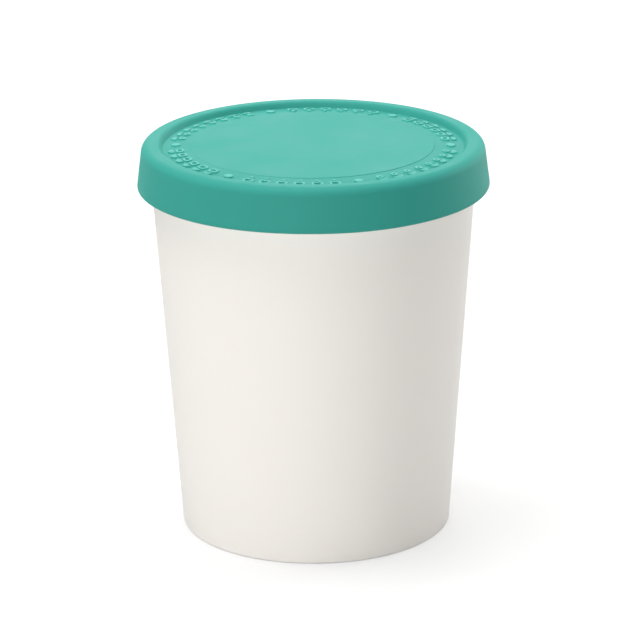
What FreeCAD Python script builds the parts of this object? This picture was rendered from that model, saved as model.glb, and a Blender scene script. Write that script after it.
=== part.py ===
"""Reusable ice cream tub of about one litre, shut with its stretch lid.

The tub is a moulded plastic cup that widens upwards.  It stands on a foot ring
and carries a bead round its mouth.  The lid is one silicone moulding: a skirt
that grips the bead, a raised rim, and inside the rim a sunk top.  The top
climbs gently from the foot of the rim, as a band with small raised marks, to a
flat disc.  Nothing inside the shut tub can be seen, so the tub is one solid.

Frame: millimetres, +Z up, origin on the table at the centre of the foot ring.
"""

import FreeCAD
import Part
import Sketcher
import math
import os

# Every size that can be set by itself: alias, value, meaning.  Lengths are in
# millimetres and angles in degrees.  "Inwards" is towards the Z axis.
SIZES = [
    ("foot_radius", 46.6, "radius of the tub's wall at the table"),
    ("mouth_radius", 55.9, "radius of the tub's wall at its mouth"),
    ("tub_height", 132.2, "table up to the mouth"),
    ("foot_round", 1.0, "rounding of the foot's outer corner"),
    ("ring_width", 3.4, "width of the foot ring"),
    ("base_sink", 1.2, "how far the base is sunk inside the foot ring"),
    ("base_round", 0.8, "rounding where the base meets the foot ring"),
    ("bead_stand", 1.0, "how far the bead stands out from the mouth"),
    ("bead_height", 3.4, "height of the bead"),
    ("bead_round", 0.5, "rounding of the bead's corners"),
    ("lid_gap", 0.1, "clearance between the bead and the lid's bore"),
    ("bore_flare", 1.0, "how far the lid's bore widens below the bead"),
    ("skirt_wall", 2.1, "thickness of the skirt at its lower edge"),
    ("skirt_depth", 15.2, "crown of the rim down to the skirt's lower edge"),
    ("skirt_taper", 1.9, "how far the skirt's outside leans inwards over its depth"),
    ("edge_round", 0.9, "rounding of the lower edge, outside"),
    ("edge_inner_round", 0.5, "rounding of the lower edge, inside"),
    ("shoulder_round", 3.2, "rounding between the skirt and the crown"),
    ("lid_plate", 1.7, "thickness of the lid at the foot of the rim"),
    ("rim_rise", 2.1, "height of the crown above the foot of the rim"),
    ("rim_width", 5.8, "the bore inwards to the foot of the rim"),
    ("rim_lean", 1.2, "how far the rim's inner side leans outwards"),
    ("crown_round", 1.8, "rounding of the crown's inner corner"),
    ("band_width", 9.9, "width of the band, foot of the rim to the disc"),
    ("band_climb", 0.7, "how far the band climbs towards the disc"),
    ("disc_rise", 0.25, "height of the disc above the band's inner edge"),
    ("disc_round", 0.15, "rounding of the disc's corner"),
    ("mark_rise", 0.5, "height of the marks above the band"),
    ("mark_inset", 4.5, "foot of the rim inwards to the middle of the marks"),
    ("mark_length", 5.8, "length of a mark, measured inwards"),
    ("mark_split", 0.4, "gap between the two pieces of a mark"),
    ("line_width", 1.1, "width of the raised lines that bound a hollow piece"),
    ("scoop_radius", 2.0, "radius of the scoop on a cup or a cone"),
    ("scoop_lip", 0.1, "straight lip at the base of the scoop"),
    ("cup_width", 4.8, "width of a cup at its mouth"),
    ("cup_foot", 3.5, "width of a cup at its foot"),
    ("cup_hollow", 2.1, "width of the cup's hollow at its mouth"),
    ("cup_hollow_foot", 1.5, "width of the cup's hollow at its foot"),
    ("cone_width", 4.8, "width of a cone at its mouth"),
    ("cone_tip", 0.8, "width of a cone's blunt tip"),
    ("cone_hollow", 1.0, "width of the cone's hollow at its mouth"),
    ("cone_hollow_tip", 0.2, "width of the cone's hollow at its tip"),
    ("ice_width", 4.2, "width of the ice on a stick"),
    ("stick_length", 1.6, "length of the stick that shows"),
    ("stick_width", 1.2, "width of the stick"),
    ("dot_radius", 1.7, "radius of the dots between the runs of marks"),
    ("mark_pitch", 7.1, "angle from one mark of a run to the next"),
    ("first_dot", -2.0, "bearing of the first dot"),
    ("cups", 6, "cups in a run"),
    ("ices", 6, "ices on a stick in a run"),
    ("cones", 8, "cones in a run"),
]

# Sizes that follow from those, as expressions of the sheet's cells.
BEAD_RADIUS = "(Sizes.mouth_radius + Sizes.bead_stand)"
BEAD_LEVEL = "(Sizes.tub_height - Sizes.bead_height)"
WALL_SLOPE = "((Sizes.mouth_radius - Sizes.foot_radius) / Sizes.tub_height)"
NECK_RADIUS = f"(Sizes.mouth_radius - {WALL_SLOPE} * Sizes.bead_height)"
RING_RADIUS = "(Sizes.foot_radius - Sizes.ring_width)"
BORE_RADIUS = f"({BEAD_RADIUS} + Sizes.lid_gap)"
FLARE_RADIUS = f"({BORE_RADIUS} + Sizes.bore_flare)"
LID_RADIUS = f"({FLARE_RADIUS} + Sizes.skirt_wall)"
BAND_LEVEL = "(Sizes.tub_height + Sizes.lid_plate)"
CROWN_LEVEL = f"({BAND_LEVEL} + Sizes.rim_rise)"
SKIRT_LEVEL = f"({CROWN_LEVEL} - Sizes.skirt_depth)"
SHOULDER_RADIUS = f"({LID_RADIUS} - Sizes.skirt_taper)"
RECESS_RADIUS = f"({BORE_RADIUS} - Sizes.rim_width)"
CROWN_RADIUS = f"({RECESS_RADIUS} + Sizes.rim_lean)"
DISC_RADIUS = f"({RECESS_RADIUS} - Sizes.band_width)"
BAND_TOP = f"({BAND_LEVEL} + Sizes.band_climb)"
DISC_LEVEL = f"({BAND_TOP} + Sizes.disc_rise)"
MARK_RADIUS = f"({RECESS_RADIUS} - Sizes.mark_inset)"
MARK_OUTER = f"({MARK_RADIUS} + Sizes.mark_length / 2)"
MARK_INNER = f"({MARK_RADIUS} - Sizes.mark_length / 2)"
SCOOP_CENTRE = f"({MARK_OUTER} - Sizes.scoop_radius)"
SCOOP_BASE = f"({SCOOP_CENTRE} - Sizes.scoop_lip)"
HOLDER_MOUTH = f"({SCOOP_BASE} - Sizes.mark_split)"

# Each half turn of the band holds three runs of marks, and a dot before each
# run.  The angle left over is shared equally between the dots' two sides.
DOT_PITCH = "((180 - (Sizes.cups + Sizes.ices + Sizes.cones - 3) * Sizes.mark_pitch) / 6)"
CUPS_DOT = "Sizes.first_dot"
ICES_DOT = f"({CUPS_DOT} + 2 * {DOT_PITCH} + (Sizes.cups - 1) * Sizes.mark_pitch)"
CONES_DOT = f"({ICES_DOT} + 2 * {DOT_PITCH} + (Sizes.ices - 1) * Sizes.mark_pitch)"


def band_level_at(radius):
    """The expression for the climbing band's level at a radius."""
    climbed = f"({RECESS_RADIUS} - {radius}) / Sizes.band_width"
    return f"({BAND_LEVEL} + Sizes.band_climb * {climbed})"


def make_sheet(doc):
    """The spreadsheet of driving sizes, one to a row."""
    sheet = doc.addObject("Spreadsheet::Sheet", "Sizes")
    for row, (alias, value, meaning) in enumerate(SIZES, start=1):
        sheet.set(f"A{row}", alias)
        sheet.set(f"B{row}", str(value))
        sheet.set(f"C{row}", meaning)
        sheet.setAlias(f"B{row}", alias)
    doc.recompute()


def origin_feature(body, role):
    """One of the body's own origin planes or axes."""
    return next(f for f in body.Origin.OriginFeatures if f.Role == role)


def value_of(obj, expression):
    """What an expression of the sheet's cells is worth now."""
    result = obj.evalExpression(expression)
    return float(getattr(result, "Value", result))


def add_sketch(body, name, role):
    """An empty sketch on one of the body's origin planes."""
    sketch = body.newObject("Sketcher::SketchObject", name)
    sketch.AttachmentSupport = [(origin_feature(body, role), "")]
    sketch.MapMode = "FlatFace"
    return sketch


def pin(sketch, geometry, end, x, y):
    """Ties one end of a line or an arc to the place that two expressions give."""
    for kind, expression in (("DistanceX", x), ("DistanceY", y)):
        value = value_of(sketch, expression)
        constraint = Sketcher.Constraint(kind, -1, 1, geometry, end, value)
        index = sketch.addConstraint(constraint)
        sketch.setExpression(f"Constraints[{index}]", expression)


def draw_polygon(sketch, corners):
    """A closed outline through corners, each a pair of expressions (x, y)."""
    points = [FreeCAD.Vector(value_of(sketch, x), value_of(sketch, y), 0) for x, y in corners]
    first = sketch.GeometryCount
    last = len(points) - 1
    for i, point in enumerate(points):
        following = 0 if i == last else i + 1
        sketch.addGeometry(Part.LineSegment(point, points[following]), False)
    for i, (x, y) in enumerate(corners):
        following = 0 if i == last else i + 1
        join = Sketcher.Constraint("Coincident", first + i, 2, first + following, 1)
        sketch.addConstraint(join)
        pin(sketch, first + i, 1, x, y)


def draw_dome(sketch, centre, radius, base):
    """A shape round on its outer side: a half disc about (centre, 0) that runs
    straight back to x = base, all given as expressions."""
    x, r, back = (value_of(sketch, expression) for expression in (centre, radius, base))
    first = sketch.GeometryCount
    circle = Part.Circle(FreeCAD.Vector(x, 0, 0), FreeCAD.Vector(0, 0, 1), r)
    corners = [FreeCAD.Vector(*corner, 0) for corner in ((x, r), (back, r), (back, -r), (x, -r))]
    sketch.addGeometry(Part.ArcOfCircle(circle, -math.pi / 2, math.pi / 2), False)
    for start, end in zip(corners, corners[1:]):
        sketch.addGeometry(Part.LineSegment(start, end), False)
    for i in range(4):
        following = first + (i + 1) % 4
        sketch.addConstraint(Sketcher.Constraint("Coincident", first + i, 2, following, 1))
    pin(sketch, first, 3, centre, "0")
    pin(sketch, first + 1, 1, centre, radius)
    pin(sketch, first + 2, 1, base, radius)
    pin(sketch, first + 3, 1, base, f"-({radius})")


def draw_disc(sketch, centre, radius):
    """A full disc about (centre, 0), given as expressions."""
    x, r = (value_of(sketch, expression) for expression in (centre, radius))
    circle = Part.Circle(FreeCAD.Vector(x, 0, 0), FreeCAD.Vector(0, 0, 1), r)
    geometry = sketch.addGeometry(circle, False)
    pin(sketch, geometry, 3, centre, "0")
    index = sketch.addConstraint(Sketcher.Constraint("Radius", geometry, r))
    sketch.setExpression(f"Constraints[{index}]", radius)


def turn(body, name, corners, kind="PartDesign::Revolution"):
    """Adds, or with a groove takes away, the solid swept by an outline in the XZ
    plane turned once round Z."""
    sketch = add_sketch(body, f"{name}Profile", "XZ_Plane")
    draw_polygon(sketch, corners)
    feature = body.newObject(kind, name)
    feature.Profile = sketch
    feature.ReferenceAxis = (sketch, ["V_Axis"])
    feature.Angle = 360
    body.Document.recompute()


def round_corners(body, name, radius, corners):
    """Rounds the body's circular edges that pass through the profile corners
    (radius, level), given as expressions."""
    base = body.Tip
    wanted = [(value_of(base, x), value_of(base, z)) for x, z in corners]
    edges = []
    for number, edge in enumerate(base.Shape.Edges, start=1):
        if isinstance(edge.Curve, Part.Circle):
            place = (edge.Curve.Radius, edge.Curve.Center.z)
            if any(math.dist(place, corner) < 1e-4 for corner in wanted):
                edges.append(f"Edge{number}")
    fillet = body.newObject("PartDesign::Fillet", name)
    fillet.Base = (base, edges)
    fillet.setExpression("Radius", radius)
    body.Document.recompute()


def make_tub(doc):
    """The shut tub: leaning wall, bead round the mouth, sunk base, foot ring."""
    body = doc.addObject("PartDesign::Body", "Tub")
    body.Label = "tub"
    turn(
        body,
        "TubWall",
        [
            ("0", "Sizes.base_sink"),
            (RING_RADIUS, "Sizes.base_sink"),
            (RING_RADIUS, "0"),
            ("Sizes.foot_radius", "0"),
            (NECK_RADIUS, BEAD_LEVEL),
            (BEAD_RADIUS, BEAD_LEVEL),
            (BEAD_RADIUS, "Sizes.tub_height"),
            ("0", "Sizes.tub_height"),
        ],
    )
    bead_corners = [(BEAD_RADIUS, BEAD_LEVEL), (BEAD_RADIUS, "Sizes.tub_height")]
    round_corners(body, "FootRound", "Sizes.foot_round", [("Sizes.foot_radius", "0")])
    round_corners(body, "BaseRound", "Sizes.base_round", [(RING_RADIUS, "Sizes.base_sink")])
    round_corners(body, "BeadRound", "Sizes.bead_round", bead_corners)


def draw_dot(sketch):
    """A round dot."""
    draw_disc(sketch, MARK_RADIUS, "Sizes.dot_radius")


def draw_wedge(sketch, outer, inner, outer_width, inner_width):
    """A four-sided shape about the X axis from x = inner to x = outer, each end
    as wide as given, all given as expressions."""
    draw_polygon(
        sketch,
        [
            (outer, f"-{outer_width} / 2"),
            (outer, f"{outer_width} / 2"),
            (inner, f"{inner_width} / 2"),
            (inner, f"-{inner_width} / 2"),
        ],
    )


def draw_served(sketch, width, foot, hollow, hollow_foot):
    """A round scoop, standing outwards, over a hollow holder that is as wide as
    given at its mouth and at its foot."""
    draw_dome(sketch, SCOOP_CENTRE, "Sizes.scoop_radius", SCOOP_BASE)
    draw_wedge(sketch, HOLDER_MOUTH, MARK_INNER, width, foot)
    hollow_mouth = f"({HOLDER_MOUTH} - Sizes.line_width)"
    draw_wedge(sketch, hollow_mouth, f"({MARK_INNER} + Sizes.line_width)", hollow, hollow_foot)


def draw_cup(sketch):
    """A scoop in a cup."""
    widths = ("cup_width", "cup_foot", "cup_hollow", "cup_hollow_foot")
    draw_served(sketch, *(f"Sizes.{width}" for width in widths))


def draw_cone(sketch):
    """A scoop on a cone."""
    widths = ("cone_width", "cone_tip", "cone_hollow", "cone_hollow_tip")
    draw_served(sketch, *(f"Sizes.{width}" for width in widths))


def draw_ice(sketch):
    """A hollow ice on a stick."""
    half_width = "(Sizes.ice_width / 2)"
    stick_end = f"({MARK_INNER} + Sizes.stick_length)"
    base = f"({stick_end} + Sizes.mark_split)"
    draw_dome(sketch, f"({MARK_OUTER} - {half_width})", half_width, base)
    hollow_top = f"({MARK_OUTER} - Sizes.line_width)"
    hollow_width = "(Sizes.ice_width - 2 * Sizes.line_width)"
    draw_wedge(sketch, hollow_top, f"({base} + Sizes.line_width)", hollow_width, hollow_width)
    draw_wedge(sketch, stick_end, MARK_INNER, "Sizes.stick_width", "Sizes.stick_width")


def add_pattern(body, name, count, angle):
    """A polar pattern round Z whose count and whole angle are expressions."""
    pattern = body.newObject("PartDesign::PolarPattern", name)
    pattern.Axis = (origin_feature(body, "Z_Axis"), [""])
    pattern.setExpression("Angle", angle)
    pattern.setExpression("Occurrences", count)
    return pattern


def add_marks(body, name, draw, bearing, count):
    """Raises a run of count marks on the band, from a bearing on, and the same
    run again half a turn further round.  Their tops are trimmed later."""
    sketch = add_sketch(body, f"{name}Sketch", "XY_Plane")
    draw(sketch)
    sketch.setExpression("AttachmentOffset.Base.z", BAND_LEVEL)
    sketch.setExpression("AttachmentOffset.Rotation.Angle", bearing)
    pad = body.newObject("PartDesign::Pad", name)
    pad.Profile = sketch
    pad.setExpression("Length", "Sizes.band_climb + Sizes.mark_rise")
    both = body.newObject("PartDesign::MultiTransform", f"{name}Pattern")
    both.Originals = [pad]
    both.Transformations = [
        add_pattern(body, f"{name}Run", count, f"({count} - 1) * Sizes.mark_pitch"),
        add_pattern(body, f"{name}Halves", "2", "180"),
    ]
    body.Tip = both
    body.Document.recompute()


def trim_marks(body):
    """Cuts the marks' tops parallel to the climbing band, mark_rise above it."""
    inner = f"({MARK_INNER} - Sizes.mark_split)"
    outer = f"({MARK_OUTER} + Sizes.mark_split)"
    above = f"({DISC_LEVEL} + Sizes.mark_rise)"
    turn(
        body,
        "MarkTrim",
        [
            (inner, f"{band_level_at(inner)} + Sizes.mark_rise"),
            (outer, f"{band_level_at(outer)} + Sizes.mark_rise"),
            (outer, above),
            (inner, above),
        ],
        "PartDesign::Groove",
    )


def make_lid(doc):
    """The stretch lid, seated on the tub's mouth: skirt, rim, climbing band and
    disc in one turned solid, with raised marks on the band."""
    body = doc.addObject("PartDesign::Body", "Lid")
    body.Label = "lid"
    turn(
        body,
        "LidWall",
        [
            ("0", "Sizes.tub_height"),
            (BORE_RADIUS, "Sizes.tub_height"),
            (BORE_RADIUS, BEAD_LEVEL),
            (FLARE_RADIUS, SKIRT_LEVEL),
            (LID_RADIUS, SKIRT_LEVEL),
            (SHOULDER_RADIUS, CROWN_LEVEL),
            (CROWN_RADIUS, CROWN_LEVEL),
            (RECESS_RADIUS, BAND_LEVEL),
            (DISC_RADIUS, BAND_TOP),
            (DISC_RADIUS, DISC_LEVEL),
            ("0", DISC_LEVEL),
        ],
    )
    round_corners(body, "ShoulderRound", "Sizes.shoulder_round", [(SHOULDER_RADIUS, CROWN_LEVEL)])
    round_corners(body, "CrownRound", "Sizes.crown_round", [(CROWN_RADIUS, CROWN_LEVEL)])
    round_corners(body, "EdgeRound", "Sizes.edge_round", [(LID_RADIUS, SKIRT_LEVEL)])
    round_corners(body, "LipRound", "Sizes.edge_inner_round", [(FLARE_RADIUS, SKIRT_LEVEL)])
    round_corners(body, "DiscRound", "Sizes.disc_round", [(DISC_RADIUS, DISC_LEVEL)])
    for name, draw, dot, count in (
        ("Cup", draw_cup, CUPS_DOT, "Sizes.cups"),
        ("Ice", draw_ice, ICES_DOT, "Sizes.ices"),
        ("Cone", draw_cone, CONES_DOT, "Sizes.cones"),
    ):
        add_marks(body, f"{name}Dots", draw_dot, dot, "1")
        add_marks(body, f"{name}s", draw, f"{dot} + {DOT_PITCH}", count)
    trim_marks(body)


def check_and_write(doc):
    """Stops on any faulty object, then writes one STEP file for each body."""
    faulty = [o.Name for o in doc.Objects if {"Invalid", "Error"} & set(o.State)]
    if faulty:
        raise RuntimeError(f"faulty objects: {faulty}")
    os.makedirs("parts", exist_ok=True)
    for body in doc.findObjects("PartDesign::Body"):
        shape = body.Shape
        if shape.isNull() or not shape.isValid() or len(shape.Solids) != 1:
            raise RuntimeError(f"{body.Label} isn't one valid solid")
        shape.exportStep(f"parts/{body.Label}.step")


document = FreeCAD.newDocument("ice_cream_tub")
make_sheet(document)
make_tub(document)
make_lid(document)
check_and_write(document)
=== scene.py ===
# %% [markdown]
# # A shut ice cream tub
#
# This lesson dresses a reusable ice cream tub for a picture.  The construction
# file holds two plain solids, the tub and its stretch lid, at their real size.
# They are right for weight and collision, but their round walls are made of flat
# facets.  Here each one is replaced by a fine surface worked out from a few sizes
# in millimetres, and each gets the finish of what it is moulded from.

# %% Load the frame that every piece is built on
import math

import bpy
import numpy as np
from mathutils import Matrix, Vector


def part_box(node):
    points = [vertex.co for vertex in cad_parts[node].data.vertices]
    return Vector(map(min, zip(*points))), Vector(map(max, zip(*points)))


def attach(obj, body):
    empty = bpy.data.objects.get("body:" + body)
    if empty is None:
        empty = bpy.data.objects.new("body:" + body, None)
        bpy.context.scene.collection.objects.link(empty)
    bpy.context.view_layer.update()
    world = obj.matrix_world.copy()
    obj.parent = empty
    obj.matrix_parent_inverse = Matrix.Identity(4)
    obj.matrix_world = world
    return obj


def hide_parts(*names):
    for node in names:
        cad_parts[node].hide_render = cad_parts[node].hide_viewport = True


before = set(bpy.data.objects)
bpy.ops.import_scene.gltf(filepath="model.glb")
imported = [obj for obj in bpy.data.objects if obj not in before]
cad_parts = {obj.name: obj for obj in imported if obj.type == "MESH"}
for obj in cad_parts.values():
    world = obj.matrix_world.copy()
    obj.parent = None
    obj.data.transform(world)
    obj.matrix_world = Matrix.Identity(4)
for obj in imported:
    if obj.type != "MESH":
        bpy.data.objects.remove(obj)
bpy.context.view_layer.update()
tub_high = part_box("tub")[1]
lid_low, lid_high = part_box("lid")

# %% [markdown]
# ## Colours and nodes
#
# A colour is picked on a screen, which shows sRGB, so colours are written here as
# sRGB hex.  Blender adds light in linear values, and one function turns the first
# into the second.  Another clears a material's node tree, and one more adds a node,
# sets it and links it, so that each material reads as a short list of what it does.

# %% Three helpers that every material uses
def linear(colour):
    """sRGB hex to linear red, green, blue and alpha: below 0.04045 a channel is
    divided by 12.92, and above it (c + 0.055) / 1.055 is raised to 2.4."""
    channels = np.array([int(colour[i : i + 2], 16) for i in (1, 3, 5)]) / 255
    bright = ((channels + 0.055) / 1.055) ** 2.4
    return (*np.where(channels <= 0.04045, channels / 12.92, bright), 1.0)


def empty_tree(owner):
    """The node tree of a material or a world, with nothing in it yet."""
    owner.use_nodes = True
    owner.node_tree.nodes.clear()
    return owner.node_tree


def add_node(tree, kind, links=None, settings=None, **values):
    """Adds a node of one kind.  settings are its own properties, values its
    sockets' constants by name, and links its sockets, by name or number, that are
    fed from other nodes."""
    node = tree.nodes.new(kind)
    for name, setting in (settings or {}).items():
        setattr(node, name, setting)
    for name, value in values.items():
        node.inputs[name.replace("_", " ")].default_value = value
    for name, source in (links or {}).items():
        tree.links.new(source, node.inputs[name])
    return node


print("#808080 is", round(float(linear("#808080")[0]), 3), "of white in linear light")

# %% [markdown]
# ## Round pieces
#
# Both pieces come out of round moulds, so each is one outline turned about the
# upright axis.  Blender's Screw modifier could turn a drawn curve, but the same
# arrays that turn the outline can also give it the slight unevenness of a real
# moulding, so numpy does it.  The outline is a few corners, each rounded by its
# own radius, as a mould drawing gives them.

# %% An outline with rounded corners
MM = 0.001  # one millimetre in Blender's metres
ARC_STEP = math.radians(9)  # longest turn between two points of an arc
SQUARE = [(1, -1), (1, 1), (-1, 1), (-1, -1)]  # the corners of a square, anticlockwise


def rounded_corner(before, corner, after, radius):
    """The arc of one rounded corner, and the direction that faces out at each of
    its points, when the path keeps the inside on its left.

    With the path turning by an angle t at the corner, the arc starts radius *
    tan(t / 2) before it.  From there its centre lies one radius to the side that
    the path turns to, and its points swing about the centre through t."""
    arrive = (corner - before) / np.hypot(*(corner - before))
    leave = (after - corner) / np.hypot(*(after - corner))
    angle = math.atan2(arrive[0] * leave[1] - arrive[1] * leave[0], arrive @ leave)
    start = corner - arrive * radius * math.tan(abs(angle) / 2)
    right = np.array([arrive[1], -arrive[0]])
    count = max(2, math.ceil(abs(angle) / ARC_STEP)) + 1
    swing = np.linspace(0, angle, count)[:, None]
    out = np.cos(swing) * right + np.sin(swing) * arrive
    centre = start - right * radius * np.sign(angle)
    return centre + out * radius * np.sign(angle), out


def rounded_outline(corners, closed):
    """A path through corners, each (x, y, radius): its points and the outward
    direction at each.  A closed path rounds every corner, and an open one keeps
    its two ends as they are."""
    places = np.array([corner[:2] for corner in corners], float)
    radii = [corner[2] for corner in corners]
    last = len(places)
    inner = range(last) if closed else range(1, last - 1)
    arcs = [
        rounded_corner(places[i - 1], places[i], places[(i + 1) % last], radii[i]) for i in inner
    ]
    points = [arc[0] for arc in arcs]
    out = [arc[1] for arc in arcs]
    if not closed:
        points = [places[:1], *points, places[-1:]]
        out = [out[0][:1], *out, out[-1][-1:]]
    return np.vstack(points), np.vstack(out)


rounded_square, _ = rounded_outline([(x, y, 0.5) for x, y in SQUARE], closed=True)
print("a square with rounded corners has", len(rounded_square), "points")

# %% [markdown]
# An outline's straight stretches need rings as well.  Smooth shading blends the
# facing of one ring into the next, and over a long stretch between two tight
# roundings it would blend what should look flat.  So each long stretch gets rings
# that crowd towards its ends, where the roundings begin.

# %% Rings along the straight stretches
STRETCH_RINGS = 10
SHORT_STRETCH = 1.2  # mm; a shorter stretch gets no rings of its own


def fill_stretches(points):
    """Adds points to each stretch longer than SHORT_STRETCH, at the shares
    s = (1 - cos(pi * i / n)) / 2 of its length, which crowd towards both ends."""
    shares = (1 - np.cos(np.pi * np.arange(STRETCH_RINGS) / STRETCH_RINGS)) / 2
    filled = []
    for start, end in zip(points, points[1:]):
        long = np.hypot(*(end - start)) > SHORT_STRETCH
        steps = shares if long else shares[:1]
        filled.append(start + (end - start) * steps[:, None])
    return np.vstack([*filled, points[-1:]])


ten_mm = fill_stretches(np.array([[0.0, 0.0], [10.0, 0.0]]))
print("a stretch of 10 mm has points at", *ten_mm[:, 0].round(2).tolist(), "mm")

# %% [markdown]
# The turned surface starts and ends on the axis, where each end closes in one
# point with a fan of triangles.  Its last column of faces joins the first, so
# there is no seam.

# %% Turn an outline about the axis
COLUMNS = 384  # at 60 mm from the axis these are 1 mm apart


def turned_mesh(path, uneven):
    """Points and faces of a path (r, z), turned once: x = r cos a, y = r sin a.
    The path runs from the axis to the axis.  uneven(r, z, a) gives what is added
    to r and to z at each point, in millimetres."""
    angle = np.linspace(0, 2 * np.pi, COLUMNS, endpoint=False)[None, :]
    r, z = (path[1:-1, i, None] for i in (0, 1))
    more_r, more_z = uneven(r, z, angle)
    r = r + more_r
    z = z + more_z + 0 * angle
    rings = np.stack([r * np.cos(angle), r * np.sin(angle), z], axis=2).reshape(-1, 3)
    poles = np.array([[0, 0, path[0, 1]], [0, 0, path[-1, 1]]])
    grid = np.arange(len(rings)).reshape(-1, COLUMNS)
    beside = np.roll(grid, -1, axis=1)
    quads = np.stack([grid[:-1], beside[:-1], beside[1:], grid[1:]], axis=2).reshape(-1, 4)
    first = np.stack([beside[0], grid[0], np.full(COLUMNS, len(rings))], axis=1)
    last = np.stack([grid[-1], beside[-1], np.full(COLUMNS, len(rings) + 1)], axis=1)
    return np.vstack([rings, poles]), [*quads.tolist(), *first.tolist(), *last.tolist()]


def add_object(name, data):
    """An object with this data, in the scene."""
    added = bpy.data.objects.new(name, data)
    bpy.context.scene.collection.objects.link(added)
    return added


def add_piece(name, points, faces, material, node):
    """A smooth-shaded object from points in millimetres, riding on the tub's body.  Its CAD node
    is not used."""
    mesh = bpy.data.meshes.new(name)
    mesh.from_pydata((np.asarray(points) * MM).tolist(), [], faces)
    mesh.validate()
    mesh.shade_smooth()
    mesh.materials.append(material)
    piece = add_object(name, mesh)
    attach(piece, "root")
    print(name, "has", len(mesh.vertices), "points and", len(mesh.polygons), "faces")
    return piece


print("each ring of a turned piece has", COLUMNS, "points")

# %% [markdown]
# ## The tub's plastic
#
# The tub is injection-moulded polypropylene, a milky plastic coloured a warm
# white.  Its mould is blasted to a fine satin, so it shows broad soft highlights
# and no clear reflections.  Light goes a little way into it before it comes back,
# which a touch of subsurface scattering gives.  The fine grain of the mould and
# the long faint waves of a thin wall that has shrunk are bump.

# %% Satin polypropylene
PP_WHITE = "#F4F0EA"
PP_GRAIN = 0.5  # mm; the blasted grain is finer, and is drawn as coarse as it needs to show
PP_GRAIN_DEPTH = 0.03  # mm
PP_WAVE = 28.0  # mm between the long waves of a moulded wall
PP_WAVE_DEPTH = 0.4  # mm
MOST_NOISE = {"From_Min": 0.3, "From_Max": 0.7}  # a noise texture rarely leaves this range


def satin_polypropylene():
    """Warm white satin polypropylene."""
    material = bpy.data.materials.new("satin_polypropylene")
    tree = empty_tree(material)
    place = add_node(tree, "ShaderNodeTexCoord").outputs["Object"]
    grain = add_node(
        tree,
        "ShaderNodeTexNoise",
        {"Vector": place},
        Scale=1 / (PP_GRAIN * MM),
        Detail=3.0,
        Roughness=0.6,
    )
    wave = add_node(
        tree,
        "ShaderNodeTexNoise",
        {"Vector": place},
        Scale=1 / (PP_WAVE * MM),
        Detail=1.0,
        Roughness=0.4,
    )
    wall = add_node(
        tree,
        "ShaderNodeBump",
        {"Height": wave.outputs["Fac"]},
        Strength=0.25,
        Distance=PP_WAVE_DEPTH * MM,
    )
    skin = add_node(
        tree,
        "ShaderNodeBump",
        {"Height": grain.outputs["Fac"], "Normal": wall.outputs["Normal"]},
        Strength=0.25,
        Distance=PP_GRAIN_DEPTH * MM,
    )
    satin = add_node(
        tree,
        "ShaderNodeMapRange",
        {"Value": grain.outputs["Fac"]},
        To_Min=0.5,
        To_Max=0.6,
        **MOST_NOISE,
    )
    shader = add_node(
        tree,
        "ShaderNodeBsdfPrincipled",
        {"Roughness": satin.outputs["Result"], "Normal": skin.outputs["Normal"]},
        Base_Color=linear(PP_WHITE),
        IOR=1.49,
        Specular_IOR_Level=0.3,
        Subsurface_Weight=0.2,
        Subsurface_Radius=(1.0, 0.95, 0.85),
        Subsurface_Scale=1.0 * MM,
    )
    add_node(tree, "ShaderNodeOutputMaterial", {"Surface": shader.outputs["BSDF"]})
    return material


tub_plastic = satin_polypropylene()
print(tub_plastic.name, "has", len(tub_plastic.node_tree.nodes), "nodes")

# %% [markdown]
# ## The tub
#
# The wall widens upwards so that tubs leave the mould and stack.  It stands on a
# narrow foot ring, with the base sunk inside it so that a bulging base can't make
# it rock.  The mouth ends in a bead that the lid grips.  The tub is shut, so the
# piece closes flat across the mouth, under the lid.
#
# The base keeps the small round scar where the plastic entered the mould, in a
# shallow dimple.  All sizes are in millimetres, and each corner of the outline is a
# distance from the axis, a height and a rounding.

# %% The tub's outline
FOOT_RADIUS = 46.6
MOUTH_RADIUS = 55.9
TUB_HEIGHT = tub_high[2] / MM
RING_WIDTH = 3.4
BASE_SINK = 1.2
BEAD_STAND = 1.0
BEAD_HEIGHT = 3.4
BASE_RADIUS = FOOT_RADIUS - RING_WIDTH
BEAD_RADIUS = MOUTH_RADIUS + BEAD_STAND
BEAD_LEVEL = TUB_HEIGHT - BEAD_HEIGHT
NECK_RADIUS = MOUTH_RADIUS - (MOUTH_RADIUS - FOOT_RADIUS) * BEAD_HEIGHT / TUB_HEIGHT
GATE_RADIUS = 1.6
GATE_STAND = 0.3
GATE_DRAFT = 0.1
GATE_ROUND = 0.15
GATE_FOOT_ROUND = 0.1
DIMPLE_RADIUS = 5.0
DIMPLE_DEPTH = 0.5
DIMPLE_SLOPE = 0.6
DIMPLE_ROUND = 0.4
BASE_ROUND = 0.6
RING_ROUND = 0.4
FOOT_ROUND = 1.0
NECK_ROUND = 0.3
BEAD_ROUND = 0.5
DIMPLE_LEVEL = BASE_SINK + DIMPLE_DEPTH
GATE_LEVEL = DIMPLE_LEVEL - GATE_STAND

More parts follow.
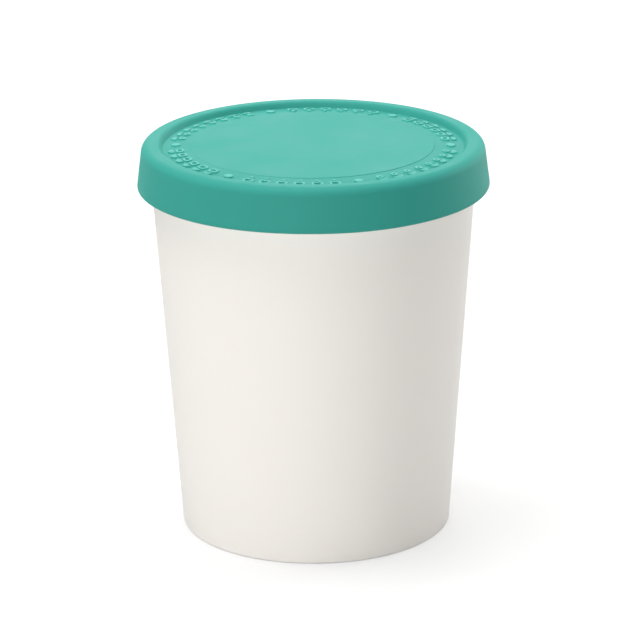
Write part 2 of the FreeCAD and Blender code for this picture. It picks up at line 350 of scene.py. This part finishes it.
tub_corners = [
    (0, GATE_LEVEL, 0),
    (GATE_RADIUS, GATE_LEVEL, GATE_ROUND),
    (GATE_RADIUS + GATE_DRAFT, DIMPLE_LEVEL, GATE_FOOT_ROUND),
    (DIMPLE_RADIUS, DIMPLE_LEVEL, DIMPLE_ROUND),
    (DIMPLE_RADIUS + DIMPLE_SLOPE, BASE_SINK, DIMPLE_ROUND),
    (BASE_RADIUS, BASE_SINK, BASE_ROUND),
    (BASE_RADIUS, 0, RING_ROUND),
    (FOOT_RADIUS, 0, FOOT_ROUND),
    (NECK_RADIUS, BEAD_LEVEL, NECK_ROUND),
    (BEAD_RADIUS, BEAD_LEVEL, BEAD_ROUND),
    (BEAD_RADIUS, TUB_HEIGHT, BEAD_ROUND),
    (0, TUB_HEIGHT, 0),
]
wall_lean = math.degrees(math.atan2(MOUTH_RADIUS - FOOT_RADIUS, TUB_HEIGHT))
print("the wall leans out by", round(wall_lean, 2), "degrees")

# %% [markdown]
# A thin wall never shrinks evenly.  The radius of this tub wanders by a few
# hundredths of a millimetre round its girth, mostly as a slight oval, and less
# towards the foot, where the base holds it round.

# %% Turn the tub
TUB_OVAL = 0.05  # mm that the oval moves the mouth's radius in or out


def tub_unevenness(r, z, angle):
    """An oval and a three-sided lobe, both growing with height.  The wall's radius
    gains TUB_OVAL * z / height * (sin(2a + 0.6) + 0.4 sin(3a + 2.1)), and z nothing."""
    lobes = np.sin(2 * angle + 0.6) + 0.4 * np.sin(3 * angle + 2.1)
    on_wall = (r > BASE_RADIUS) * np.clip(z / TUB_HEIGHT, 0, 1)
    return TUB_OVAL * on_wall * lobes, 0 * r


tub_path = fill_stretches(rounded_outline(tub_corners, closed=False)[0])
tub = add_piece("tub_moulding", *turned_mesh(tub_path, tub_unevenness), tub_plastic, "tub")
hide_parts("tub")

# %% [markdown]
# ## The lid's silicone
#
# The lid is compression-moulded silicone rubber in a strong blue-green.  It is
# soft and matte.  At a low angle its skin looks paler, because the blasted mould
# leaves a fine velvety texture that catches light there: sheen gives that.  Its
# colour is mixed through, so all that changes over the surface is how the skin
# holds the light, with faint cloudy patches where it has been handled.
#
# The raised marks come from pockets cut into the mould after it was blasted.  Their
# floors are smoother, so the tops of the marks are a little glossier than the skin
# round them.  Their tint is also a little paler: that is a painted highlight, which
# stands in for the light that their rounded tops catch.  A mask on the lid could do
# that, but the marks are a piece of their own, so the same function makes a second,
# smoother and paler rubber for them.

# %% Matte silicone rubber
SILICONE_GRAIN = 0.6  # mm; coarser than the real texture, so that it shows
SILICONE_GRAIN_DEPTH = 0.05  # mm
SILICONE_CLOUD = 14.0  # mm across a faint handled patch
SILICONE_SHEEN = "#5CC8B8"
CLOUD_GLOSS = 0.1  # how much less rough a patch can be than its surroundings


def silicone(name, deep, pale, roughest):
    """Blue-green silicone rubber between two tints, as rough as given at most."""
    material = bpy.data.materials.new(name)
    tree = empty_tree(material)
    place = add_node(tree, "ShaderNodeTexCoord").outputs["Object"]
    grain = add_node(
        tree,
        "ShaderNodeTexNoise",
        {"Vector": place},
        Scale=1 / (SILICONE_GRAIN * MM),
        Detail=3.0,
        Roughness=0.6,
    )
    cloud = add_node(
        tree,
        "ShaderNodeTexNoise",
        {"Vector": place},
        Scale=1 / (SILICONE_CLOUD * MM),
        Detail=4.0,
        Roughness=0.55,
    )
    tint = add_node(
        tree,
        "ShaderNodeMixRGB",
        {"Fac": cloud.outputs["Fac"]},
        Color1=linear(deep),
        Color2=linear(pale),
    )
    skin = add_node(
        tree,
        "ShaderNodeBump",
        {"Height": grain.outputs["Fac"]},
        Strength=0.3,
        Distance=SILICONE_GRAIN_DEPTH * MM,
    )
    matte = add_node(
        tree,
        "ShaderNodeMapRange",
        {"Value": cloud.outputs["Fac"]},
        To_Min=roughest - CLOUD_GLOSS,
        To_Max=roughest,
        **MOST_NOISE,
    )
    shader = add_node(
        tree,
        "ShaderNodeBsdfPrincipled",
        {
            "Base Color": tint.outputs["Color"],
            "Roughness": matte.outputs["Result"],
            "Normal": skin.outputs["Normal"],
        },
        IOR=1.41,
        Specular_IOR_Level=0.2,
        Sheen_Weight=0.15,
        Sheen_Roughness=0.5,
        Sheen_Tint=linear(SILICONE_SHEEN),
    )
    add_node(tree, "ShaderNodeOutputMaterial", {"Surface": shader.outputs["BSDF"]})
    return material


lid_silicone = silicone("matte_silicone", deep="#319286", pale="#37998D", roughest=0.7)
# the marks' paler tints are a painted highlight; their lower roughness is real
mark_silicone = silicone("glossy_silicone_painted_highlight", deep="#3CA598", pale="#42AB9E", roughest=0.55)
print("the lid is made of", lid_silicone.name, "and its marks of", mark_silicone.name)

# %% [markdown]
# ## The lid
#
# The lid is stretched over the bead by hand.  Its skirt leans inwards as it rises
# and turns over a soft shoulder into a raised rim.  Inside the rim the top is sunk,
# so a second tub stacks on it without sliding.  From the rim's foot the top climbs
# gently to a flat disc, which keeps the middle from sagging.  Below the bead the
# skirt stands clear of the wall, to give the fingers an edge to pull.  Its outline
# is drawn as the tub's is, in millimetres, and sits on the tub's mouth.

# %% The lid's outline
LID_GAP = 0.1
BORE_FLARE = 1.0
SKIRT_WALL = 2.1
SKIRT_TAPER = 1.9
LID_PLATE = 1.7
RIM_WIDTH = 5.8
RIM_LEAN = 1.2
BAND_WIDTH = 9.9
BAND_CLIMB = 0.7
DISC_RISE = 0.09
DISC_SLOPE = 0.1
SEAT_ROUND = 0.05
LOWER_INNER_ROUND = 0.5
LOWER_OUTER_ROUND = 0.9
SHOULDER_ROUND = 3.2
CROWN_ROUND = 1.8
RECESS_ROUND = 0.4
DISC_ROUND = 0.04
CROWN_LEVEL = lid_high[2] / MM
SKIRT_LEVEL = lid_low[2] / MM
BAND_LEVEL = TUB_HEIGHT + LID_PLATE
BORE_RADIUS = BEAD_RADIUS + LID_GAP
LID_RADIUS = BORE_RADIUS + BORE_FLARE + SKIRT_WALL
RECESS_RADIUS = BORE_RADIUS - RIM_WIDTH
DISC_RADIUS = RECESS_RADIUS - BAND_WIDTH
BAND_TOP = BAND_LEVEL + BAND_CLIMB

lid_corners = [
    (0, TUB_HEIGHT, 0),
    (BORE_RADIUS, TUB_HEIGHT, SEAT_ROUND),
    (BORE_RADIUS, BEAD_LEVEL, LOWER_INNER_ROUND),
    (BORE_RADIUS + BORE_FLARE, SKIRT_LEVEL, LOWER_INNER_ROUND),
    (LID_RADIUS, SKIRT_LEVEL, LOWER_OUTER_ROUND),
    (LID_RADIUS - SKIRT_TAPER, CROWN_LEVEL, SHOULDER_ROUND),
    (RECESS_RADIUS + RIM_LEAN, CROWN_LEVEL, CROWN_ROUND),
    (RECESS_RADIUS, BAND_LEVEL, RECESS_ROUND),
    (DISC_RADIUS + DISC_SLOPE, BAND_TOP, DISC_ROUND),
    (DISC_RADIUS, BAND_TOP + DISC_RISE, DISC_ROUND),
    (0, BAND_TOP + DISC_RISE, 0),
]
widths = [round(2 * radius, 2) for radius in (LID_RADIUS, DISC_RADIUS)]
print("the lid is", widths[0], "mm wide and its disc", widths[1], "mm")

# %% [markdown]
# A soft lid that has been pulled on by hand sits a little out of true: its lower
# edge wanders up and down, and its skirt in and out, by about a tenth of a
# millimetre.  The part of the mould that forms the disc sits a little out of true as
# well, so the disc's edge stands crisp at one side and all but runs out at the other.

# %% Turn the lid
LID_WANDER = 0.06  # mm
SKIRT_CLEAR = 0.2  # mm outside the bore, beyond which a point belongs to the skirt
DISC_LEAN = 0.08  # mm, at the disc's edge
DISC_HIGH_SIDE = math.radians(-18)


def lid_unevenness(r, z, angle):
    """On the skirt, with d the depth below the crown as a share of the skirt's, r
    gains LID_WANDER * d * (sin(2a + 1) + 0.6 sin(5a + 2)) and z gains LID_WANDER *
    d * d * (sin(3a) + 0.5 sin(7a + 1)).  The disc is a plane that leans: its z
    gains DISC_LEAN * r / DISC_RADIUS * cos(a - DISC_HIGH_SIDE), and the points of
    its edge gain a share of that, by how far up the edge they lie."""
    on_skirt = r > BORE_RADIUS + SKIRT_CLEAR
    low = np.clip((CROWN_LEVEL - z) / (CROWN_LEVEL - SKIRT_LEVEL), 0, 1) * on_skirt
    in_out = np.sin(2 * angle + 1.0) + 0.6 * np.sin(5 * angle + 2.0)
    up_down = np.sin(3 * angle) + 0.5 * np.sin(7 * angle + 1.0)
    on_disc = np.clip((z - BAND_TOP) / DISC_RISE, 0, 1) * (r < DISC_RADIUS + DISC_SLOPE)
    lean = DISC_LEAN * on_disc * r / DISC_RADIUS * np.cos(angle - DISC_HIGH_SIDE)
    return LID_WANDER * low * in_out, LID_WANDER * low**2 * up_down + lean


lid_path = fill_stretches(rounded_outline(lid_corners, closed=False)[0])
lid = add_piece("lid_moulding", *turned_mesh(lid_path, lid_unevenness), lid_silicone, "lid")
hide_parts("lid")

# %% [markdown]
# ## The raised marks
#
# Round the band run small raised marks: scoops in cups, ices on sticks and scoops
# on cones, with a dot between the runs.  The bodies of the cups, ices and cones are
# raised lines round a hollow, and the scoops, sticks and dots are solid.  In the
# mould each is a little pocket with sloping sides and eased edges.  A curve object
# with a bevel would give marks too, but an outline stacked up in rings gives the
# same eased edges with far fewer faces: every ring is the outline pushed in or out
# by an offset, at a height of its own.  The sizes are in millimetres.

# %% Outlines of the marks
MARK_RISE = 0.5
MARK_INSET = 4.5
MARK_LENGTH = 5.8
MARK_SPLIT = 0.4
MARK_RADIUS = RECESS_RADIUS - MARK_INSET
MARK_OUTER = MARK_RADIUS + MARK_LENGTH / 2
MARK_INNER = MARK_RADIUS - MARK_LENGTH / 2
LINE_WIDTH = 1.1
HALF_LINE = LINE_WIDTH / 2
SCOOP_RADIUS = 2.0
SCOOP_LIP = 0.1
CUP_WIDTH = 4.8
CUP_FOOT = 3.5
CONE_WIDTH = 4.8
CONE_TIP = 0.8
ICE_WIDTH = 4.2
STICK_LENGTH = 1.6
STICK_WIDTH = 1.2
DOT_RADIUS = 1.7
STICK_ROUND = 0.35
LINE_ROUND = 0.7  # of the middle of a raised line, where it turns a corner
SCOOP_BASE = MARK_OUTER - SCOOP_RADIUS - SCOOP_LIP
MOUTH_LINE = SCOOP_BASE - MARK_SPLIT - HALF_LINE
FOOT_LINE = MARK_INNER + HALF_LINE
STICK_END = MARK_INNER + STICK_LENGTH
ICE_LINE = ICE_WIDTH - LINE_WIDTH
ICE_FOOT = STICK_END + MARK_SPLIT + HALF_LINE


def tapered(outer, inner, outer_width, inner_width, outer_round, inner_round):
    """A closed outline from x = inner to x = outer, as wide in y as given at each
    end: x runs away from the axis and y across the mark."""
    return [
        (outer, -outer_width / 2, outer_round),
        (outer, outer_width / 2, outer_round),
        (inner, inner_width / 2, inner_round),
        (inner, -inner_width / 2, inner_round),
    ]


def holder_lines(mouth, foot):
    """The middle of the raised line round a cup or cone that is as wide as given
    at its mouth and foot.  It runs half a line inside the sides.  With t their lean,
    half the difference in width over the length, it is narrower than the mouth by
    LINE_WIDTH * (sqrt(1 + t * t) + t), and than the foot by LINE_WIDTH * (sqrt(1 +
    t * t) - t).  A foot too narrow for two rounded corners gets one."""
    lean = (mouth - foot) / 2 / (MOUTH_LINE - FOOT_LINE + LINE_WIDTH)
    drawn_in = math.hypot(1, lean)
    mouth_middle = mouth - LINE_WIDTH * (drawn_in + lean)
    foot_middle = foot - LINE_WIDTH * (drawn_in - lean)
    if foot_middle > LINE_ROUND:
        return tapered(MOUTH_LINE, FOOT_LINE, mouth_middle, foot_middle, LINE_ROUND, LINE_ROUND)
    sides = [(MOUTH_LINE, y * mouth_middle / 2, LINE_ROUND) for y in (-1, 1)]
    return [*sides, (FOOT_LINE, 0, LINE_ROUND)]


scoop_width = 2 * SCOOP_RADIUS
scoop = tapered(MARK_OUTER, SCOOP_BASE, scoop_width, scoop_width, SCOOP_RADIUS, SCOOP_LIP)
stick = tapered(STICK_END, MARK_INNER, STICK_WIDTH, STICK_WIDTH, STICK_ROUND, STICK_ROUND)
cup_lines = holder_lines(CUP_WIDTH, CUP_FOOT)
cone_lines = holder_lines(CONE_WIDTH, CONE_TIP)
ice_lines = tapered(MARK_OUTER - HALF_LINE, ICE_FOOT, ICE_LINE, ICE_LINE, ICE_LINE / 2, LINE_ROUND)
dot = [(MARK_RADIUS + x * DOT_RADIUS, y * DOT_RADIUS, DOT_RADIUS) for x, y in SQUARE]
print("the marks lie", round(MARK_INNER, 2), "to", round(MARK_OUTER, 2), "mm from the axis")

# %% [markdown]
# The rings of a solid shape start just under the band, spread a little at the foot,
# climb the sloping side and turn over an eased edge, and one face closes the top.
# A raised line runs over the middle of its outline: its rings go up the outer side
# and down the inner one, so it needs no face to close it.

# %% Rings of one mark
FOOT_SPREAD = 0.2  # mm outwards, and the height at which the foot meets the side
FOOT_SINK = 0.03  # mm below the band, where the first ring lies
FOOT_LIFT = 0.03  # mm above the band, where the second ring lies
SIDE_SLOPE = 0.09  # mm inwards, from the foot's top to the edge
EDGE_ROUND = 0.16  # mm
EDGE_RINGS = 4
SAME_PLACE = 1e-6  # mm; two points nearer than this are one

edge_turn = np.linspace(0, np.pi / 2, EDGE_RINGS)
edge_offsets = -SIDE_SLOPE - EDGE_ROUND * (1 - np.cos(edge_turn))
edge_heights = MARK_RISE - EDGE_ROUND * (1 - np.sin(edge_turn))
side_offsets = np.array([FOOT_SPREAD, FOOT_SPREAD / 3, 0, *edge_offsets])
side_heights = np.array([-FOOT_SINK, FOOT_LIFT, FOOT_SPREAD, *edge_heights])


def raised_shape(corners, hollow):
    """Points and blocks of faces of one raised shape.  Ring k is the outline moved
    by offset k along its outward direction, at height k above the band, which at
    radius r lies at BAND_LEVEL + BAND_CLIMB * (RECESS_RADIUS - r) / BAND_WIDTH."""
    points, out = rounded_outline(corners, closed=True)
    apart = np.hypot(*(points - np.roll(points, -1, axis=0)).T) > SAME_PLACE
    points, out = points[apart], out[apart]
    offsets, heights = side_offsets, side_heights
    if hollow:
        offsets = np.concatenate([HALF_LINE + offsets, -(HALF_LINE + offsets)[::-1]])
        heights = np.concatenate([heights, heights[::-1]])
    flat = points[None] + out[None] * offsets[:, None, None]
    climbed = BAND_CLIMB * (RECESS_RADIUS - np.hypot(flat[..., 0], flat[..., 1])) / BAND_WIDTH
    level = BAND_LEVEL + climbed + heights[:, None]
    rings = np.concatenate([flat, level[..., None]], axis=2).reshape(-1, 3)
    grid = np.arange(len(rings)).reshape(len(offsets), -1)
    beside = np.roll(grid, -1, axis=1)
    sides = np.stack([grid[:-1], beside[:-1], beside[1:], grid[1:]], axis=2).reshape(-1, 4)
    return rings, [sides] if hollow else [sides, grid[-1:]]


cup = [raised_shape(scoop, False), raised_shape(cup_lines, True)]
ice = [raised_shape(ice_lines, True), raised_shape(stick, False)]
cone = [raised_shape(scoop, False), raised_shape(cone_lines, True)]
spot = [raised_shape(dot, False)]
print("a cup has", sum(len(block) for _, blocks in cup for block in blocks), "faces")

# %% [markdown]
# Each half turn of the band holds three runs, with a dot before each.  The marks
# of a run are a fixed angle apart, and the angle that is left over is shared
# equally by the gaps on both sides of the dots.

# %% Place the marks round the band
HALF_TURN = 180  # degrees
MARK_PITCH = 7.1  # degrees
FIRST_DOT = -2.0  # degrees
runs = [(cup, 6), (ice, 6), (cone, 8)]
dot_pitch = (HALF_TURN - MARK_PITCH * sum(count - 1 for _, count in runs)) / (2 * len(runs))


def turned_to(points, bearing):
    """Points swung about the upright axis to a bearing a in degrees: x becomes
    x cos a - y sin a, and y becomes x sin a + y cos a."""
    a = math.radians(bearing)
    swing = np.array([[math.cos(a), math.sin(a), 0], [-math.sin(a), math.cos(a), 0], [0, 0, 1]])
    return points @ swing


placed = []
for half in (0, HALF_TURN):
    bearing = FIRST_DOT + half
    for mark, count in runs:
        placed.append((spot, bearing))
        bearings = bearing + dot_pitch + MARK_PITCH * np.arange(count)
        placed += [(mark, b) for b in bearings]
        bearing = bearings[-1] + dot_pitch

mark_points = []
mark_faces = []
start = 0
for mark, bearing in placed:
    for points, blocks in mark:
        mark_points.append(turned_to(points, bearing))
        for block in blocks:
            mark_faces += (block + start).tolist()
        start += len(points)

add_piece("lid_marks", np.vstack(mark_points), mark_faces, mark_silicone, "lid")
print(len(placed), "marks and dots,", round(dot_pitch, 2), "degrees from a dot to a mark")

# %% [markdown]
# ## The camera
#
# The tub is seen from a little over a metre away through a long lens, from about
# eighteen degrees above, which keeps its sides nearly straight.  The camera is
# turned by three angles, in the order that a tripod head has them: it faces along
# the floor, tips down, and then leans half a degree to one side.

# %% Camera
CAMERA_PLACE = Vector((0.0, -1.1314, 0.4484))
CAMERA_PAN = math.radians(0.093)
CAMERA_TIP = math.radians(18.41)
CAMERA_LEAN = math.radians(-0.49)
CAMERA_LENS = 194.16  # mm
CAMERA_SENSOR = 36.0  # mm

view = bpy.data.cameras.new("view")
view.lens = CAMERA_LENS
view.sensor_width = CAMERA_SENSOR
camera = add_object("camera", view)
aim = Matrix.Rotation(-CAMERA_PAN, 4, "Z") @ Matrix.Rotation(math.pi / 2 - CAMERA_TIP, 4, "X")
camera.matrix_world = Matrix.Translation(CAMERA_PLACE) @ aim @ Matrix.Rotation(CAMERA_LEAN, 4, "Z")
bpy.context.scene.camera = camera
print("the camera stands", round(CAMERA_PLACE.length, 3), "m from the foot of the tub")

# %% [markdown]
# ## The floor and the light
#
# The tub stands on white paper in a white room.  The paper answers the camera
# with a little light of its own, so that it reads as white, and keeps the tub's
# soft shadow.  One world of even light would be quicker to set up, but it leaves a
# round wall as flat as a cut-out.  So soft boxes give all the light.

# %% Floor
def seen_directly(tree):
    """1 for rays from the camera, in a reflection or through a clear surface, and
    0 for the rays that carry light from one matte surface to another: the largest
    of the light path's marks for those three."""
    path = add_node(tree, "ShaderNodeLightPath").outputs
    clear = add_node(
        tree,
        "ShaderNodeMath",
        {0: path["Is Glossy Ray"], 1: path["Is Transmission Ray"]},
        {"operation": "MAXIMUM"},
    )
    seen = add_node(
        tree,
        "ShaderNodeMath",
        {0: path["Is Camera Ray"], 1: clear.outputs["Value"]},
        {"operation": "MAXIMUM"},
    )
    return seen.outputs["Value"]


PAPER_GREY = "#BEBEBE"
FLOOR_SIZE = 6.0  # metres
NEAR_GLOW = 0.45
SHADOW_REACH = 0.4  # metres from the tub, where its shadow has run out
ALL_WHITE = 1.2  # metres from the tub, where the soft boxes no longer reach the paper


def white_paper():
    """A matte white floor that reads as white to the camera and keeps shadows.  Its
    glow grows smoothly from NEAR_GLOW at SHADOW_REACH to 1 at ALL_WHITE."""
    material = bpy.data.materials.new("white_paper")
    tree = empty_tree(material)
    paper = add_node(tree, "ShaderNodeBsdfDiffuse", Color=linear(PAPER_GREY)).outputs["BSDF"]
    place = add_node(tree, "ShaderNodeTexCoord").outputs["Object"]
    away = add_node(tree, "ShaderNodeVectorMath", {0: place}, {"operation": "LENGTH"})
    growth = add_node(
        tree,
        "ShaderNodeMapRange",
        {"Value": away.outputs["Value"]},
        {"interpolation_type": "SMOOTHSTEP"},
        From_Min=SHADOW_REACH,
        From_Max=ALL_WHITE,
        To_Min=NEAR_GLOW,
        To_Max=1.0,
    )
    glow = add_node(tree, "ShaderNodeEmission", {"Strength": growth.outputs["Result"]})
    both = add_node(tree, "ShaderNodeAddShader", {0: paper, 1: glow.outputs["Emission"]})
    mixed = add_node(
        tree,
        "ShaderNodeMixShader",
        {"Fac": seen_directly(tree), 1: paper, 2: both.outputs["Shader"]},
    )
    add_node(tree, "ShaderNodeOutputMaterial", {"Surface": mixed.outputs["Shader"]})
    return material


half_floor = FLOOR_SIZE / 2
floor_mesh = bpy.data.meshes.new("floor")
floor_corners = [(x * half_floor, y * half_floor, 0) for x, y in SQUARE]
floor_mesh.from_pydata(floor_corners, [], [(0, 1, 2, 3)])
floor_mesh.materials.append(white_paper())
floor = add_object("floor", floor_mesh)
print("the floor is", FLOOR_SIZE, "m square")

# %% [markdown]
# Beyond the paper there is only the world.  It is the white wall of the room: a ray
# from the camera or in a reflection meets white there.  To the rays that carry
# light between matte surfaces it is black, so it doesn't fill in the shade on the
# far side of the tub.

# %% World
def white_room():
    """A world that is white to the camera and in reflections, and gives no light of
    its own, because the soft boxes give it all."""
    world = bpy.data.worlds.new("white_room")
    tree = empty_tree(world)
    white = add_node(
        tree, "ShaderNodeBackground", {"Strength": seen_directly(tree)}, Color=linear("#FFFFFF")
    )
    add_node(tree, "ShaderNodeOutputWorld", {"Surface": white.outputs["Background"]})
    return world


bpy.context.scene.world = white_room()
print("the world is", bpy.context.scene.world.name)

# %% [markdown]
# The lid's top and the wall stand square to each other, so they take their light
# from different boxes.  A large one overhead and one high at the left light the
# top.  A small one low in front and two at the left give the wall its slow fall
# from light to shade.  Two at the right and one at the back light the pale edges.
# One of the two at the right is small and stands low, so that it lights the skirt
# and only skims the top.  The view transform is Standard, which shows a colour as it
# is written instead of softening it as film would.

# %% Soft boxes
def soft_box(name, place, aim_at, size, power):
    """A square soft box at a place, facing a point, power in watts."""
    lamp = bpy.data.lights.new(name, "AREA")
    lamp.size = size
    lamp.energy = power
    box = add_object(name, lamp)
    box.location = place
    towards = aim_at - Vector(place)
    box.rotation_euler = towards.to_track_quat("-Z", "Y").to_euler()
    print(name, "stands", round(towards.length, 2), "m away and gives", power, "W")


MIDDLE = Vector((0, 0, tub_high[2] / 2))
SOFT_BOXES = [  # name, place and width in metres, power in watts
    ("overhead", (-0.1, 0.0, 1.6), 1.2, 24.3),
    ("high_left", (-1.1, 0.3, 1.8), 1.0, 10.2),
    ("front", (-0.3, -1.6, 0.3), 0.6, 13.9),
    ("left", (-1.7, 0.1, 0.5), 1.0, 2.6),
    ("low_left", (-1.3, -0.4, 0.2), 0.35, 1.7),
    ("right", (1.2, 1.0, 0.6), 1.0, 9.2),
    ("low_right", (1.3, 0.8, 0.2), 0.35, 6.0),
    ("back", (0.0, 1.5, 0.9), 1.0, 8.4),
]
for name, place, size, power in SOFT_BOXES:
    soft_box(name, place, MIDDLE, size, power)

bpy.context.scene.view_settings.view_transform = "Standard"
